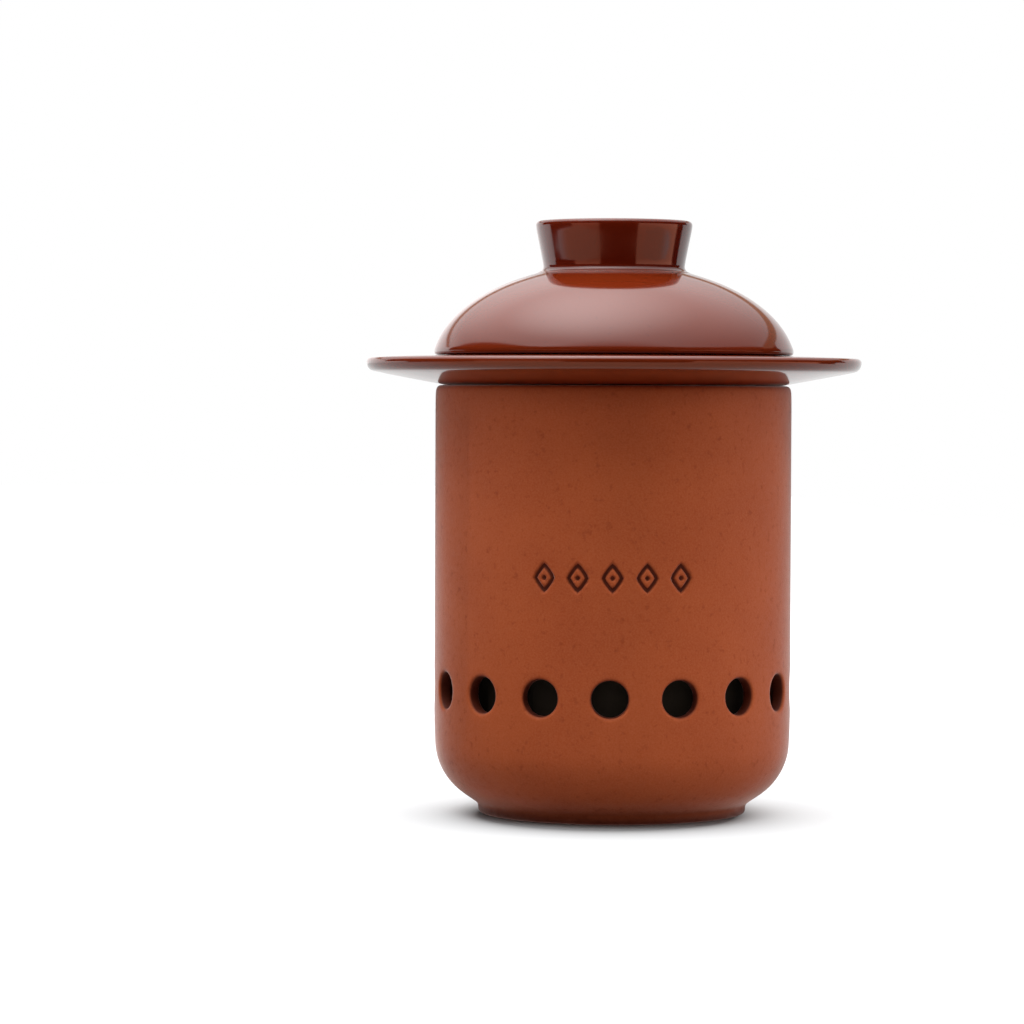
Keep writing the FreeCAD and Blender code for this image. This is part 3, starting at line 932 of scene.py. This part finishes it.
# %% template and wheel
def template(corners):
    """Outline of half a turned piece, from (radius, height, rounding) corners."""
    bm = bmesh.new()
    points = [bm.verts.new((radius, 0, height)) for radius, height, _ in corners]
    bm.faces.new(points)
    for point, (_, _, rounding) in zip(points, corners):
        if rounding:
            bmesh.ops.bevel(
                bm, geom=[point], offset=rounding, offset_type="OFFSET", affect="VERTICES",
                segments=4, profile=0.5, material=-1,
            )
    bmesh.ops.delete(bm, geom=bm.faces[:], context="FACES_ONLY")
    on_axis = [edge for edge in bm.edges if all(abs(v.co.x) < DOUBLED for v in edge.verts)]
    bmesh.ops.delete(bm, geom=on_axis, context="EDGES_FACES")
    return bm


def throw(bm, steps=96):
    """Spins a template full circle about the pot's axis."""
    bmesh.ops.spin(
        bm, geom=bm.verts[:] + bm.edges[:], cent=(0, 0, 0), axis=(0, 0, 1), dvec=(0, 0, 0),
        angle=tau, steps=steps, use_merge=True,
    )
    bmesh.ops.remove_doubles(bm, verts=bm.verts, dist=DOUBLED)
    return bm


# %% [markdown]
# ## The plate
#
# The plate is both the jar's lid and the dome's saucer. Its seat rests on the
# jar's rim and rises to a thin brim, whose round edge is fuller below than
# above. Under it a ring drops into the jar's mouth, and on top a low ring
# centres the dome round a shallow well. All of that is one piece of clay, so
# one outline turns it.

# %% plate
PLATE_SEAT = 120.04
PLATE_TOP = 128.2
plate_card = template([
    (0.0, PLATE_SEAT, 0),
    (41.0, PLATE_SEAT, 0.4), (41.0, 115.7, 0.8), (45.0, 115.7, 0.8), (45.0, PLATE_SEAT, 0.4),
    (47.5, PLATE_SEAT, 0.1), (69.5, 124.1, 2.1), (69.5, 127.65, 1.2), (52.2, PLATE_TOP, 1.5),
    (45.2, PLATE_TOP, 0.4), (45.2, 130.2, 0.8), (41.7, 130.2, 0.8), (41.7, PLATE_TOP, 0.4),
    (40.0, PLATE_TOP, 0.6), (40.0, 124.2, 2.5), (0.0, 124.2, 0),
])
print("plate's outline:", len(plate_card.verts), "points")
plate = throw(plate_card)
fire(
    "glazed_plate", plate, glossy_brown, "plate",
    ["plate", "plate_locating_ring", "dome_locating_ring"],
)

# %% [markdown]
# ## The lid
#
# The dome is part of an ellipse of even wall, cut level just above its widest
# part. The knob is a hollow ring that flares upwards, so that fingers find a
# hold. It is luted on to the crown: its wall turns out to a small foot that
# ends in a fine step on the dome. The turn catches the light, and the dome
# mirrors it just below.

# %% lid
DOME_CENTRE = 125.05
DOME_HALF_WIDTH = 51.2
DOME_RISE = 29.1
DOME_WALL = 4.2
DOME_LIP = 128.4
DOME_BAND = 130.1            # below this the side runs straight down to the lip
DOME_EDGE = 50.62
LANDING = 154.05
KNOB_TOP = 166.05


def dome_arc(half_width, rise, from_radius, to_height, steps):
    """Corners along the dome's ellipse, from a radius out to a height."""
    start = asin(from_radius / half_width)
    end = acos((to_height - DOME_CENTRE) / rise)
    turns = [start + (end - start) * i / steps for i in range(steps + 1)]
    return [(half_width * sin(t), DOME_CENTRE + rise * cos(t), 0) for t in turns]


outside = dome_arc(DOME_HALF_WIDTH, DOME_RISE, 21.5, DOME_BAND, 12)
inside = dome_arc(DOME_HALF_WIDTH - DOME_WALL, DOME_RISE - DOME_WALL, 0.0, DOME_LIP, 12)
outside[-1] = (*outside[-1][:2], 0.3)
inside[-1] = (*inside[-1][:2], 1.2)
lid_card = template(
    [(0.0, LANDING, 0), (16.0, LANDING, 1.5), (18.0, KNOB_TOP, 0.9), (22.1, KNOB_TOP, 1.2),
     (21.95, 164.0, 1.5), (19.5, 151.95, 1.85), (21.4, 151.63, 0.1)]
    + outside + [(DOME_EDGE, DOME_LIP, 1.1)] + inside[::-1]
)
print("lid's outline:", len(lid_card.verts), "points")
lid = throw(lid_card)
fire("glazed_lid", lid, glossy_brown, "lid", ["dome_lid", "lid_knob"])
